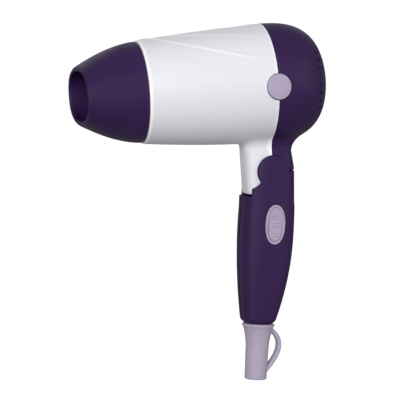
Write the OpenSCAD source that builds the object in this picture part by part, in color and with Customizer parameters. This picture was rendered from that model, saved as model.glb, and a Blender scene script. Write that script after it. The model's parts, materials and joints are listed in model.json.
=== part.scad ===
// Folding travel hair dryer.
// The barrel lies along X with its air outlet at X = 0, and the folding handle hangs below it.

/* [Barrel] */
// Length of the nozzle, from its mouth to the front housing
nozzle_len = 35.5; // [30:0.5:50]
// Width of the oval mouth, outside
mouth_w = 60; // [48:1:66]
// Height of the oval mouth, outside
mouth_h = 33; // [26:1:40]
// Radius of the front housing where it meets the nozzle
shell_front_r = 29.8; // [28:0.1:32]
// Radius of the barrel at the seam between its two housings
shell_rear_r = 34.7; // [33:0.1:38]
// Length of the front housing
shell_len = 74; // [66:1:90]
// Length of the domed rear housing
dome_len = 35; // [30:1:45]
// Wall of the housings and the nozzle
wall = 2; // [1.4:0.1:2.4]
// Number of intake slots round the dome
slot_count = 36; // [24:2:40]
// Width of one intake slot
slot_w = 1.4; // [1:0.1:2]

/* [Neck and hinge] */
// Depth of the hinge pin below the barrel axis
pivot_drop = 51.2; // [50:0.1:60]
// Radius of the round cheeks at the hinge
cheek_r = 9.7; // [9:0.1:11]
// Distance from the hinge pin to the front of the neck
neck_front = 15.4; // [15:0.1:18]
// Distance from the hinge pin to the back of the neck
neck_back = 14.6; // [14:0.1:17]
// Half width of the neck, across the barrel
neck_y = 11; // [10:0.1:12]
// Half width of the tongue between the cheeks
tongue_y = 7.2; // [6:0.1:8]
// Radius of the hinge pin
pin_r = 2.5; // [2:0.1:3]
// Angle by which the open handle leans towards the nozzle
lean = 6.8; // [4:0.1:8]
// Angle through which the barrel folds onto the handle
fold_angle = 80; // [70:1:80]

/* [Handle] */
// Length of the handle below the hinge pin
handle_len = 89.6; // [84:0.2:110]
// Half width of the handle, seen from its side
handle_half_w = 16.1; // [16:0.1:18]
// Half thickness of the handle, seen from its front
handle_half_t = 14; // [13.5:0.1:15]
// Wall of the handle shells
handle_wall = 2.3; // [2:0.1:2.6]

/* [Controls] */
// Radius of the round cool button
button_r = 7.3; // [6:0.1:8]
// Travel of the cool button
button_travel = 1.5; // [1:0.1:2]
// Half width of the oval switch frame
bezel_a = 5.9; // [5:0.1:6.5]
// Half length of the oval switch frame
bezel_b = 11.5; // [10.5:0.1:13]
// Distance of the switch below the hinge pin
switch_drop = 30.5; // [30:0.5:36]
// Distance of the switch behind the handle's middle line
switch_back = 2; // [0:0.1:3]
// Travel of the slider
slider_travel = 4.6; // [3:0.1:4.6]

/* [Cord sleeve] */
// Length of the strain relief below the handle
relief_len = 33; // [28:1:45]
// Radius of the strain relief at its lower end
relief_tip_r = 6.5; // [5.5:0.1:7]
// Radius of the hole for the cord
cord_hole_r = 3.3; // [2.8:0.1:3.6]

/* [Air path] */
// Tip radius of the fan
fan_r = 28.5; // [24:0.5:29]
// Number of fan blades
blade_count = 7; // [5:1:9]
// Radius of the motor
motor_r = 12; // [10:0.5:13]
// Length of the motor
motor_len = 25; // [20:1:26]
// Radius of the motor shaft
shaft_r = 1; // [0.8:0.1:1.2]
// Outside radius of the heater's liner tube
liner_r = 27; // [24:0.5:27.2]
// Number of heater turns
coil_turns = 6; // [4:1:7]

/* [Hidden] */
$fn = 96;

// Clearances
seam_gap = 0.2;
turn_clear = 0.1;
run_clear = 0.05;
free_gap = 0.3;
over = 1;

// Barrel stations along X
seam_front = nozzle_len;
seam_rear = nozzle_len + shell_len;
dome_end = seam_rear + dome_len;
dome_power = 2.8;
slot_from = shell_rear_r - 9.1;
slot_to = shell_rear_r - 6.3;
shell_power = 1.7;
nozzle_power = 1.74;
nozzle_r = shell_front_r - 0.7;
spigot_len = 6;
spigot_r = nozzle_r - wall - 0.4;
spigot_wall = 1.6;

// Hinge and neck
pivot_x = seam_rear;
pivot_z = -pivot_drop;
recess_r = cheek_r + free_gap;
tongue_r = cheek_r - free_gap;
washer_t = 0.7;
cheek_in_y = tongue_y + washer_t + 2 * run_clear;
chin_depth = 12.5;
chin_r = norm([neck_front, chin_depth]);
boss_z = pivot_z + 8.4;
screw_head_r = 2.1;
head_hole_r = 2.3;
pocket_y = neck_y + free_gap;
pocket_r = chin_r + 0.4;
neck_floor = 38;
neck_duct_y = 8.5;

// Handle
belly_u = 35;
foot_draw_w = 6.5;
foot_draw_t = 3.7;
end_round = 6;
relief_neck_r = 6.9;
relief_flange_r = 9.6;
relief_shift = -1;
relief_wall_u = handle_len - handle_wall - 1.3;
screw_spots = [[7.5, 56], [-5.5, 68]];
boss_r = 3;
screw_r = 1;
clamp_u = 76;
clamp_x = 6;

// Controls
button_z = -1.5;
button_top = shell_rear_r + 0.9;
flange_y = shell_rear_r - wall - 2.3;
leg_y = shell_rear_r - wall - 0.9;
stem_r = 2;
stem_len = 3;
press_y = flange_y - 1 - stem_len - button_travel - 0.2;
bezel_rim = 1.6;
bezel_proud = 0.9;
slider_b = bezel_b - bezel_rim - slider_travel / 2 - 0.3;
slider_a = bezel_a - bezel_rim - 0.7;

// Air path
motor_back = seam_rear + 5.5;
motor_front = motor_back - motor_len;
fan_front = seam_rear + 10.5;
fan_len = 10;
stator_len = 8;
coil_r = 20;
coil_wire = 1.1;
mica_t = 0.8;
heater_from = seam_front + 6;
heater_to = motor_front - 12;

function shell_r(x) =
    shell_front_r + (shell_rear_r - shell_front_r)
    * (1 - pow(1 - (x - seam_front) / shell_len, shell_power));
function nozzle_h(t) = mouth_h / 2 + (nozzle_r - mouth_h / 2) * (1 - pow(1 - t, nozzle_power));
function nozzle_w(t) = mouth_w / 2 + (nozzle_r - mouth_w / 2) * t;
function foot_share(u) = (u - belly_u) / (handle_len - belly_u);
function half_w(u) = handle_half_w
    - (u > belly_u ? foot_draw_w * pow(foot_share(u), 2) : 0.0013 * pow(u - belly_u, 2));
function half_t(u) = handle_half_t - (u > belly_u ? foot_draw_t * pow(foot_share(u), 2) : 0);
function boss_reach(u) = half_t(u) - handle_wall + 0.4;
function power_oval(a, b, n, steps) = [
    for (i = [0 : steps - 1])
    let (c = cos(360 * i / steps), s = sin(360 * i / steps))
    [a * sign(c) * pow(abs(c), 2 / n), b * sign(s) * pow(abs(s), 2 / n)]];

// Turns a solid of revolution about Z into one about X
module along_x() {
    rotate([0, 90, 0]) children();
}

// Ring about X: radii from r_in to r_out, from x0 to x1
module x_ring(x0, x1, r_out, r_in) {
    translate([x0, 0, 0]) along_x() difference() {
        cylinder(h = x1 - x0, r = r_out);
        translate([0, 0, -over]) cylinder(h = x1 - x0 + 2 * over, r = r_in);
    }
}

module x_rod(x0, x1, r) {
    translate([x0, 0, 0]) along_x() cylinder(h = x1 - x0, r = r);
}

// Rod along Y at a place in the XZ plane
module y_rod(x, z, y0, y1, r) {
    translate([x, y0, z]) rotate([-90, 0, 0]) cylinder(h = y1 - y0, r = r);
}

// Handle coordinates: origin on the hinge pin, -Z down the handle
module in_handle() {
    translate([pivot_x, 0, pivot_z]) rotate([0, lean, 0]) children();
}

// Solid between oval rings, with ring k at x = xs[k] and half sizes ws[k], hs[k]
module oval_loft(xs, ws, hs, powers, steps) {
    count = len(xs);
    points = [for (k = [0 : count - 1])
        for (p = power_oval(ws[k], hs[k], powers[k], steps)) [xs[k], p[0], p[1]]];
    sides = [for (k = [0 : count - 2]) for (i = [0 : steps - 1])
        let (j = (i + 1) % steps)
        [k * steps + i, (k + 1) * steps + i, (k + 1) * steps + j, k * steps + j]];
    ends = [[for (i = [0 : steps - 1]) i],
        [for (i = [steps - 1 : -1 : 0]) (count - 1) * steps + i]];
    polyhedron(points, concat(sides, ends), convexity = 4);
}

module nozzle_form(inset, x0, x1, rings) {
    ts = [for (k = [0 : rings]) (x0 + (x1 - x0) * k / rings)];
    us = [for (x = ts) min(1, max(0, x / nozzle_len))];
    oval_loft(ts, [for (t = us) nozzle_w(t) - inset], [for (t = us) nozzle_h(t) - inset],
        [for (t = us) 2.5 - 0.5 * t], 48);
}

module nozzle() {
    color("#3A264B") difference() {
        nozzle_form(0, 0, nozzle_len - seam_gap, 8);
        nozzle_form(wall, -over, nozzle_len - spigot_len - 1, 7);
        x_rod(nozzle_len - spigot_len - 1.5, nozzle_len + over, spigot_r + turn_clear);
    }
}

module nozzle_grille() {
    grille_x = seam_front - spigot_len + 1;
    guard_r = spigot_r - spigot_wall - run_clear;
    color("#1E1228") union() {
        for (r = [guard_r : -5 : 5])
            x_ring(grille_x, grille_x + 1.6, r, r - 1.2);
        intersection() {
            for (a = [0 : 60 : 120])
                rotate([a, 0, 0]) translate([grille_x, -guard_r, -0.6]) cube([1.6, 2 * guard_r, 1.2]);
            x_rod(grille_x, grille_x + 1.6, guard_r - 0.3);
        }
    }
}

// Wall of the front housing as a solid of revolution
module front_barrel(inset) {
    steps = 14;
    outer = [for (i = [0 : steps]) let (x = seam_front + shell_len * i / steps) [shell_r(x) - inset, x]];
    along_x() rotate_extrude() polygon(concat(outer, [[0, seam_rear], [0, seam_front]]));
}

// Solid of the rear dome, drawn in by an inset
module dome_solid(inset) {
    steps = 14;
    outer = [for (i = [0 : steps]) let (a = 90 * i / steps)
        [(shell_rear_r - inset) * pow(cos(a), 2 / dome_power),
            seam_rear + (dome_len - inset) * pow(sin(a), 2 / dome_power)]];
    along_x() rotate_extrude() polygon(concat(outer, [[0, seam_rear]]));
}

// Side outline of the neck between two X positions, down to the chin and the back tip
module neck_block(x0, x1, depth, half_y) {
    translate([x0, -half_y, -depth]) cube([x1 - x0, 2 * half_y, depth - shell_rear_r + 8]);
}

// Space taken out of the neck for the cheeks, on both sides of the tongue
module cheek_recess() {
    for (s = [-1, 1])
        y_rod(pivot_x, pivot_z, s > 0 ? tongue_y : -neck_y - over, s > 0 ? neck_y + over : -tongue_y,
            recess_r);
}

// Space inside both housings
module barrel_space() {
    front_barrel(wall);
    dome_solid(wall);
    translate([pivot_x - neck_front + wall, -neck_duct_y, -neck_floor])
        cube([neck_front + neck_back - 2 * wall, 2 * neck_duct_y, neck_floor - 20]);
}

module button_hole() {
    y_rod(seam_rear, button_z, -shell_rear_r - 3 * over, -flange_y + 2 * over, button_r + free_gap);
}

module front_housing() {
    color("#ECEAF0") difference() {
        union() {
            front_barrel(0);
            difference() {
                neck_block(pivot_x - neck_front, pivot_x, pivot_drop + 8.2, neck_y);
                cheek_recess();
            }
            intersection() {
                neck_block(pivot_x - neck_front, pivot_x - cheek_r + 2, pivot_drop + chin_depth, neck_y);
                y_rod(pivot_x, pivot_z, -neck_y, neck_y, chin_r);
                difference() {
                    y_rod(pivot_x, pivot_z, -neck_y, neck_y, chin_r);
                    y_rod(pivot_x, pivot_z, -neck_y - over, neck_y + over, recess_r);
                }
            }
            intersection() {
                y_rod(pivot_x, pivot_z, -tongue_y, tongue_y, tongue_r);
                translate([pivot_x - tongue_r, -tongue_y, pivot_z - tongue_r])
                    cube([tongue_r, 2 * tongue_y, 2 * tongue_r]);
            }
            x_ring(seam_front - spigot_len, seam_front + 3, spigot_r, spigot_r - spigot_wall);
            x_ring(seam_front, seam_front + 1.5, shell_front_r - 0.5, spigot_r - spigot_wall);
        }
        difference() {
            barrel_space();
            x_rod(seam_front - over, seam_front + 1.5, shell_front_r);
            x_ring(seam_front, seam_front + 3, spigot_r, spigot_r - spigot_wall);
        }
        x_rod(seam_front - spigot_len - over, seam_front + 2, spigot_r - spigot_wall);
        button_hole();
        y_rod(pivot_x, pivot_z, -neck_y, neck_y, pin_r + run_clear);
        translate([0, 0, boss_z]) x_rod(pivot_x - 10, pivot_x + over, screw_r + run_clear);
    }
}

// Ring of radial slots through the dome, between two radii
module slot_ring(count, r_in, r_out) {
    for (i = [0 : count - 1])
        rotate([(i + 0.5) * 360 / count, 0, 0])
            translate([seam_rear + dome_len * 0.58, -slot_w / 2, r_in])
                cube([dome_len, slot_w, r_out - r_in]);
}

module rear_housing() {
    color("#3A264B") difference() {
        union() {
            dome_solid(0);
            difference() {
                neck_block(pivot_x, pivot_x + neck_back, pivot_drop + 0.3, neck_y);
                cheek_recess();
            }
            intersection() {
                y_rod(pivot_x, pivot_z, -tongue_y, tongue_y, tongue_r);
                translate([pivot_x, -tongue_y, pivot_z - tongue_r])
                    cube([tongue_r, 2 * tongue_y, 2 * tongue_r]);
            }
        }
        barrel_space();
        button_hole();
        y_rod(pivot_x, pivot_z, -neck_y, neck_y, pin_r + run_clear);
        translate([0, 0, boss_z]) x_rod(pivot_x - over, pivot_x + neck_back, screw_r + run_clear);
        translate([0, 0, boss_z]) x_rod(pivot_x + neck_back - 4, pivot_x + neck_back + over, head_hole_r);
        slot_ring(slot_count, slot_from, slot_to);
        slot_ring(slot_count / 2, 5.5, 14.5);
    }
}

module lint_screen() {
    screen_x = fan_front + fan_len + 0.6;
    depth = (screen_x + 0.8 - seam_rear) / (dome_len - wall);
    dome_inner_r = (shell_rear_r - wall) * pow(1 - pow(depth, dome_power), 1 / dome_power);
    screen_r = min(slot_to - 0.15, dome_inner_r - 0.25);
    color("#2B2B30") union() {
        x_ring(screen_x, screen_x + 0.8, screen_r, screen_r - 1.4);
        intersection() {
            x_rod(screen_x, screen_x + 0.8, screen_r - 1);
            for (i = [-5 : 5]) {
                translate([screen_x, -screen_r, 4 * i - 0.3]) cube([0.8, 2 * screen_r, 0.6]);
                translate([screen_x, 4 * i - 0.3, -screen_r]) cube([0.8, 0.6, 2 * screen_r]);
            }
        }
    }
}

module cool_button() {
    cap_dome = 40;
    color("#B0A6BE") union() {
        intersection() {
            y_rod(seam_rear, button_z, -button_top, -flange_y + 0.5, button_r);
            translate([seam_rear, cap_dome - button_top, button_z]) sphere(r = cap_dome);
        }
        y_rod(seam_rear, button_z, -flange_y, -flange_y + 1, button_r + 1.2);
        y_rod(seam_rear, button_z, -flange_y + 0.5, -flange_y + 1 + stem_len, stem_r);
    }
}

// Coil spring along Y between two ends
module y_spring(x, z, y0, y1, r, wire, turns, steps, sides) {
    count = turns * steps;
    points = [for (k = [0 : count]) for (i = [0 : sides - 1])
        let (a = 360 * k / steps, b = 360 * i / sides, rr = r + wire * cos(b))
        [x + rr * cos(a), y0 + wire + (y1 - y0 - 2 * wire) * k / count + wire * sin(b), z + rr * sin(a)]];
    skin = [for (k = [0 : count - 1]) for (i = [0 : sides - 1])
        let (j = (i + 1) % sides)
        [k * sides + i, k * sides + j, (k + 1) * sides + j, (k + 1) * sides + i]];
    ends = [[for (i = [sides - 1 : -1 : 0]) i], [for (i = [0 : sides - 1]) count * sides + i]];
    polyhedron(points, concat(skin, ends), convexity = 8);
}

module button_spring() {
    color("silver")
        y_spring(seam_rear, button_z, -flange_y + 1 + run_clear, -press_y - run_clear, stem_r + 1.4, 0.35,
            4, 12, 6);
}

module button_switch() {
    board_y = -press_y + 3.5;
    arm = 10.2;
    color("#2B2B30") union() {
        difference() {
            translate([seam_rear - 4, -press_y, button_z - 4]) cube([8, 3.6, 8]);
            y_rod(seam_rear, button_z, -press_y - over, -press_y + 0.4, stem_r);
        }
        translate([seam_rear - arm, board_y, button_z - 5]) cube([2 * arm, 1.2, 10]);
        for (s = [-1, 1])
            translate([seam_rear + s * (arm - 0.6) - 0.6, -leg_y, button_z - 3])
                cube([1.2, board_y + leg_y + 0.5, 6]);
    }
}

// Side outline of the handle, in handle coordinates
function handle_side(inset, top) = let (
    low = handle_len - end_round + 0.4,
    down = [for (i = [0 : 14]) let (u = top + (low - top) * i / 14) [half_w(u) - inset, -u]],
    corner = [for (a = [15 : 15 : 90])
        [half_w(low) - end_round + end_round * cos(a) - inset, -low - (end_round - 0.4) * sin(a)]])
    concat(down, corner, [for (i = [len(corner) - 1 : -1 : 0]) [-corner[i][0], corner[i][1]]],
        [for (i = [len(down) - 1 : -1 : 0]) [-down[i][0], down[i][1]]]);
function handle_front(inset, top) = let (
    down = [for (i = [0 : 10]) let (u = top + (handle_len - top) * i / 10) [half_t(u) - inset, -u]])
    concat(down, [for (i = [10 : -1 : 0]) [-down[i][0], down[i][1]]]);

// Rounded handle body, drawn in by an inset
module handle_form(inset, top) {
    steps = 12;
    intersection() {
        rotate([90, 0, 0]) translate([0, 0, -20]) linear_extrude(40) polygon(handle_side(inset, top));
        rotate([90, 0, 90]) translate([0, 0, -20]) linear_extrude(40) polygon(handle_front(inset, top));
        rotate_extrude() polygon(concat(
            [for (i = [0 : steps]) let (u = top + (handle_len - top) * i / steps) [half_w(u) + 1 - inset, -u]],
            [[0, -handle_len], [0, -top]]));
    }
}

// Room for the neck's front face when the barrel is folded down
module folded_neck() {
    translate([pivot_x, 0, pivot_z]) rotate([0, -fold_angle, 0])
        translate([-neck_front - free_gap, -neck_y - turn_clear, 0])
        cube([neck_front + free_gap, 2 * (neck_y + turn_clear), pivot_drop]);
}

// Both handle shells as one body, before the split
module handle_body() {
    difference() {
        union() {
            difference() {
                in_handle() handle_form(0, -4);
                translate([pivot_x - 40, -20, pivot_z - 0.6]) cube([80, 40, 30]);
                translate([pivot_x - 40, -20, pivot_z - 7.4]) cube([40 - cheek_r + 1, 40, 30]);
                y_rod(pivot_x - neck_front + 0.9, pivot_z - 1.1, -20, 20, cheek_r + 0.1);
                folded_neck();
            }
            y_rod(pivot_x, pivot_z, -handle_half_t + 0.4, handle_half_t - 0.4, cheek_r);
        }
        difference() {
            y_rod(pivot_x, pivot_z, -pocket_y, pocket_y, pocket_r);
            for (s = [-1, 1])
                y_rod(pivot_x, pivot_z, s > 0 ? cheek_in_y : -pocket_y - over,
                    s > 0 ? pocket_y + over : -cheek_in_y, cheek_r);
            in_handle() translate([12.6, -20, -30]) cube([10, 40, 30]);
        }
        y_rod(pivot_x, pivot_z, -12.1, 12.1, pin_r + 0.02);
        in_handle() difference() {
            handle_form(handle_wall, pocket_r - 1);
            translate([-20, -20, -handle_len - over]) cube([40, 40, handle_len + over - relief_wall_u]);
        }
        in_handle() translate([relief_shift, 0, -handle_len - over])
            cylinder(h = 10, r = relief_neck_r + run_clear);
    }
}

module oval_plug(a, b, y0, y1) {
    in_handle() translate([switch_back, y1, -switch_drop]) rotate([90, 0, 0])
        linear_extrude(y1 - y0) polygon(power_oval(a, b, 2.5, 48));
}

module handle_left() {
    color("#3A264B") difference() {
        union() {
            intersection() {
                handle_body();
                translate([pivot_x - 60, -30, -pivot_drop - 120]) cube([100, 30, 160]);
            }
            in_handle() {
                for (p = screw_spots)
                    y_rod(p[0], -p[1], -boss_reach(p[1]), -0.1, boss_r);
                for (s = [-1, 1])
                    y_rod(relief_shift + s * clamp_x, -clamp_u, -half_t(clamp_u) + 1, 1.4, 2.1);
            }
        }
        in_handle() {
            for (p = screw_spots)
                y_rod(p[0], -p[1], -boss_reach(p[1]) + over, over, screw_r + run_clear);
            for (s = [-1, 1])
                y_rod(relief_shift + s * clamp_x, -clamp_u, -6.2, 2, 0.9 + run_clear);
        }
        oval_plug(bezel_a - 0.9, bezel_b - 0.9, -handle_half_t - over, -6);
    }
}

module handle_right() {
    color("#3A264B") difference() {
        union() {
            intersection() {
                handle_body();
                translate([pivot_x - 60, 0, -pivot_drop - 120]) cube([100, 30, 160]);
            }
            in_handle() for (p = screw_spots)
                y_rod(p[0], -p[1], 0.1, boss_reach(p[1]), boss_r + 0.4);
        }
        in_handle() for (p = screw_spots) {
            y_rod(p[0], -p[1], -over, half_t(p[1]) + over, screw_r + 0.3);
            y_rod(p[0], -p[1], 3.4, half_t(p[1]) + over, head_hole_r);
        }
    }
}

module hinge_pin() {
    color("silver") y_rod(pivot_x, pivot_z, -12, 12, pin_r);
}

module hinge_washers() {
    color("silver") for (s = [-1, 1])
        translate([pivot_x, s * (tongue_y + run_clear + washer_t / 2), pivot_z]) rotate([90, 0, 0])
            difference() {
                cylinder(h = washer_t, r = 6, center = true);
                cylinder(h = washer_t + over, r = pin_r + run_clear, center = true);
            }
}

module switch_bezel() {
    surface_y = -handle_half_t;
    color("#B0A6BE") difference() {
        union() {
            oval_plug(bezel_a, bezel_b, surface_y - bezel_proud, surface_y);
            oval_plug(bezel_a - 1, bezel_b - 1, surface_y, -pocket_y - 0.1);
        }
        oval_plug(bezel_a - bezel_rim, bezel_b - bezel_rim, surface_y - 3, surface_y + 6);
    }
}

module slider_plug(a, b, y0, y1) {
    in_handle() translate([switch_back, y1, -switch_drop - slider_travel / 2]) rotate([90, 0, 0])
        linear_extrude(y1 - y0) polygon(power_oval(a, b, 2.5, 48));
}

module switch_slider() {
    surface_y = -handle_half_t;
    color("#B0A6BE") union() {
        slider_plug(slider_a, slider_b, surface_y - bezel_proud, surface_y + 5);
        intersection() {
            slider_plug(slider_a, slider_b, surface_y - bezel_proud - 0.5, surface_y);
            in_handle() for (i = [-2 : 2])
                translate([-10 + switch_back, surface_y - 3, -switch_drop - slider_travel / 2 + 2.4 * i - 0.5])
                    cube([20, 4, 1]);
        }
        in_handle() translate([switch_back - 1, surface_y + 4, -switch_drop - slider_travel / 2 - 1.5])
            cube([2, 5, 3]);
    }
}

module slide_switch() {
    top_y = -handle_half_t + 5.8;
    slot = slider_travel + 3 + 2 * free_gap;
    half = 9;
    color("#2B2B30") in_handle() difference() {
        translate([switch_back - 4.5, top_y, -switch_drop - half]) cube([9, 8, 2 * half]);
        translate([switch_back - 1.4, top_y - over, -switch_drop - slot / 2]) cube([2.8, 5, slot]);
    }
}

module switch_leads() {
    color("#7A3B2E") in_handle() for (s = [-1, 1])
        translate([0.6 + 1.6 * s, -3, -clamp_u + 5])
            cylinder(h = clamp_u - 5 - switch_drop - 9, r = 1);
}

module cord_clamp() {
    color("#D8D8DC") in_handle() difference() {
        translate([relief_shift - 8.2, 1.5, -clamp_u - 2.5]) cube([16.4, 3, 5]);
        translate([relief_shift, 0, -clamp_u - 5]) cylinder(h = 10, r = cord_hole_r);
        for (s = [-1, 1])
            y_rod(relief_shift + s * clamp_x, -clamp_u, 0, 6, 1.2);
    }
}

module clamp_screws() {
    color("silver") in_handle() for (s = [-1, 1]) {
        y_rod(relief_shift + s * clamp_x, -clamp_u, 4.5, 5.6, 1.9);
        y_rod(relief_shift + s * clamp_x, -clamp_u, -6, 4.6, 0.9);
    }
}

// Outside radius of the strain relief, s mm below the handle
function relief_r(s) = let (t = s / relief_len)
    relief_tip_r + 0.5 * (1 - t) + (relief_flange_r - relief_tip_r - 0.9) * pow(max(0, 1 - t * 2.2), 2);

// Point on the middle line of the hanging loop, in handle coordinates, for t from 0 to 1
function loop_mid(t) = let (
    a = [relief_tip_r - 0.9, -handle_len - 3],
    b = [relief_tip_r + 10.4, -handle_len - 9.5],
    c = [relief_tip_r + 4.6, -handle_len - 20],
    d = [relief_tip_r - 2.4, -handle_len - relief_len + 5])
    pow(1 - t, 3) * a + 3 * t * pow(1 - t, 2) * b + 3 * t * t * (1 - t) * c + pow(t, 3) * d;
function loop_side(t, off) = let (
    p = loop_mid(t), q = loop_mid(t + 0.01) - loop_mid(t - 0.01), n = [q[1], -q[0]] / norm(q))
    p + off * n;

module hanging_loop() {
    steps = 20;
    half = 1.4;
    rotate([90, 0, 0]) translate([0, 0, -3]) linear_extrude(6) polygon(concat(
        [for (i = [0 : steps]) loop_side(i / steps, half)],
        [for (i = [steps : -1 : 0]) loop_side(i / steps, -half)]));
}

module strain_relief() {
    steps = 10;
    inner_top = handle_len - relief_wall_u;
    collar_reach = half_w(relief_wall_u) - handle_wall - turn_clear;
    color("#B0A6BE") in_handle() difference() {
        union() {
            translate([relief_shift, 0, -handle_len]) rotate_extrude() polygon(concat(
                [[0, inner_top + 2.2], [relief_neck_r + 1.4, inner_top + 2.2],
                    [relief_neck_r + 1.4, inner_top + run_clear], [relief_neck_r, inner_top + run_clear],
                    [relief_neck_r, -run_clear], [relief_flange_r, -run_clear], [relief_flange_r, -1.4]],
                [for (i = [1 : steps]) let (s = 1.4 + (relief_len - 1.4) * i / steps) [relief_r(s), -s]],
                [[0, -relief_len]]));
            hanging_loop();
        }
        for (s = [-1, 1])
            translate([s * (collar_reach + 5) - 5, -20, -relief_wall_u]) cube([10, 40, 10]);
        translate([relief_shift, 0, -handle_len - relief_len - over])
            cylinder(h = relief_len + 10 + over, r = cord_hole_r);
    }
}

module handle_screws() {
    color("silver") in_handle() for (p = screw_spots) {
        y_rod(p[0], -p[1], 3.4, 4.9, screw_head_r);
        y_rod(p[0], -p[1], -boss_reach(p[1]) + 2, 3.5, screw_r);
    }
}

module housing_screw() {
    color("silver") translate([0, 0, pivot_z + 8.4]) {
        x_rod(pivot_x - 9.5, pivot_x + neck_back - 4, screw_r);
        x_rod(pivot_x + neck_back - 4, pivot_x + neck_back - 2.6, screw_head_r);
    }
}

module heat_tube() {
    color("#C9B98F") x_ring(heater_from - 2.8, heater_to + 2, liner_r, liner_r - 0.6);
}

function coil_x(i) = heater_from + 5 + (heater_to - heater_from - 10) * i / (coil_turns - 1);

module coil_ring(i, wire) {
    translate([coil_x(i), 0, 0]) along_x() rotate_extrude() translate([coil_r, 0]) circle(r = wire, $fn = 24);
}

module mica_cross() {
    half = liner_r - 0.9;
    color("#C9B98F") difference() {
        union() {
            translate([heater_from, -half, -mica_t / 2])
                cube([heater_to - heater_from, 2 * half, mica_t]);
            translate([heater_from, -mica_t / 2, -half])
                cube([heater_to - heater_from, mica_t, 2 * half]);
        }
        for (i = [0 : coil_turns - 1])
            coil_ring(i, coil_wire + 0.3);
    }
}

module heater_coils() {
    color("#8A8D93") union() {
        for (i = [0 : coil_turns - 1])
            coil_ring(i, coil_wire);
        for (i = [0 : coil_turns - 2])
            rotate([45 + 90 * (i % 2), 0, 0]) translate([coil_x(i), 0, coil_r]) along_x()
                cylinder(h = coil_x(1) - coil_x(0), r = 0.6, $fn = 24);
    }
}

module thermostat() {
    color("#D8D8DC") union() {
        translate([heater_to - 12, -14, mica_t / 2]) cube([9, 7, 2.4]);
        translate([heater_to - 7.5, -10.5, mica_t / 2 + 2]) cylinder(h = 1.6, r = 2.6);
    }
}

module thermal_fuse() {
    color("#D8D8DC") translate([heater_to - 14, 10, mica_t / 2 + 1.65]) along_x() union() {
        cylinder(h = 10, r = 1.6);
        translate([0, 0, -2]) cylinder(h = 14, r = 0.4);
    }
}

module stator() {
    ring_x = motor_front;
    ring_r = shell_r(ring_x) - wall - free_gap;
    color("#1E1228") difference() {
        union() {
            x_ring(ring_x, ring_x + stator_len, ring_r, ring_r - 1.2);
            x_rod(ring_x - 1.5, ring_x + stator_len, motor_r + 1.3);
            for (i = [0 : 6])
                rotate([360 * i / 7, 0, 0]) translate([ring_x + 0.6, -1.5, motor_r + 0.6])
                    rotate([0, 0, 20]) cube([stator_len - 1.5, 1, ring_r - motor_r - 1.2]);
        }
        x_rod(ring_x, ring_x + stator_len + over, motor_r + run_clear);
        x_rod(ring_x - 3, ring_x + over, 3.2);
        for (s = [-1, 1])
            translate([0, s * 8, 0]) x_rod(ring_x - 3, ring_x + over, screw_r + 0.1);
    }
}

module motor() {
    color("#9A9DA3") difference() {
        union() {
            x_rod(motor_front, motor_back, motor_r);
            x_rod(motor_back, motor_back + 1.5, 3);
            x_rod(motor_front - 1, motor_front, 3);
        }
        x_rod(motor_front - 2, motor_back + 2, shaft_r + run_clear);
        for (s = [-1, 1])
            translate([0, s * 8, 0]) x_rod(motor_front - over, motor_front + 3.2, screw_r + run_clear);
    }
}

module motor_screws() {
    color("silver") for (s = [-1, 1])
        translate([0, s * 8, 0]) {
            x_rod(motor_front - 1.5, motor_front + 3, screw_r);
            x_rod(motor_front - 2.6, motor_front - 1.5, 1.8);
        }
}

module motor_shaft() {
    color("silver") x_rod(motor_front - 0.5, fan_front + fan_len - 1, shaft_r);
}

module impeller() {
    hub_r = 9;
    color("#3C3C44") difference() {
        union() {
            difference() {
                x_rod(fan_front, fan_front + fan_len, hub_r);
                x_rod(fan_front - over, fan_front + fan_len - 2, hub_r - 1.4);
            }
            x_rod(fan_front + 1, fan_front + fan_len, shaft_r + 1.8);
            intersection() {
                for (i = [0 : blade_count - 1])
                    rotate([360 * i / blade_count, 0, 0]) translate([fan_front + fan_len / 2, 0, hub_r - 0.8])
                        rotate([0, 0, 38]) translate([-6, -0.6, 0]) cube([12, 1.2, fan_r]);
                x_ring(fan_front, fan_front + fan_len, fan_r, hub_r - 0.8);
            }
        }
        x_rod(fan_front - over, fan_front + fan_len - 1, shaft_r);
    }
}

module rectifier_board() {
    board_x = motor_front - 4.4;
    color("#2E5A3A") union() {
        x_rod(board_x, board_x + 1.2, 11);
        for (a = [45 : 90 : 315])
            rotate([a, 0, 0]) translate([board_x - 1.3, -3, 6]) rotate([-90, 0, 0]) cylinder(h = 6, r = 1.4);
        translate([board_x - 3, -3, -1.5]) cube([3.2, 6, 3]);
    }
}

nozzle();
nozzle_grille();
front_housing();
rear_housing();
lint_screen();
cool_button();
button_spring();
button_switch();
handle_left();
handle_right();
hinge_pin();
hinge_washers();
switch_bezel();
switch_slider();
slide_switch();
switch_leads();
cord_clamp();
clamp_screws();
strain_relief();
handle_screws();
housing_screw();
heat_tube();
mica_cross();
heater_coils();
thermostat();
thermal_fuse();
stator();
motor();
motor_screws();
motor_shaft();
impeller();
rectifier_board();
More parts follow.
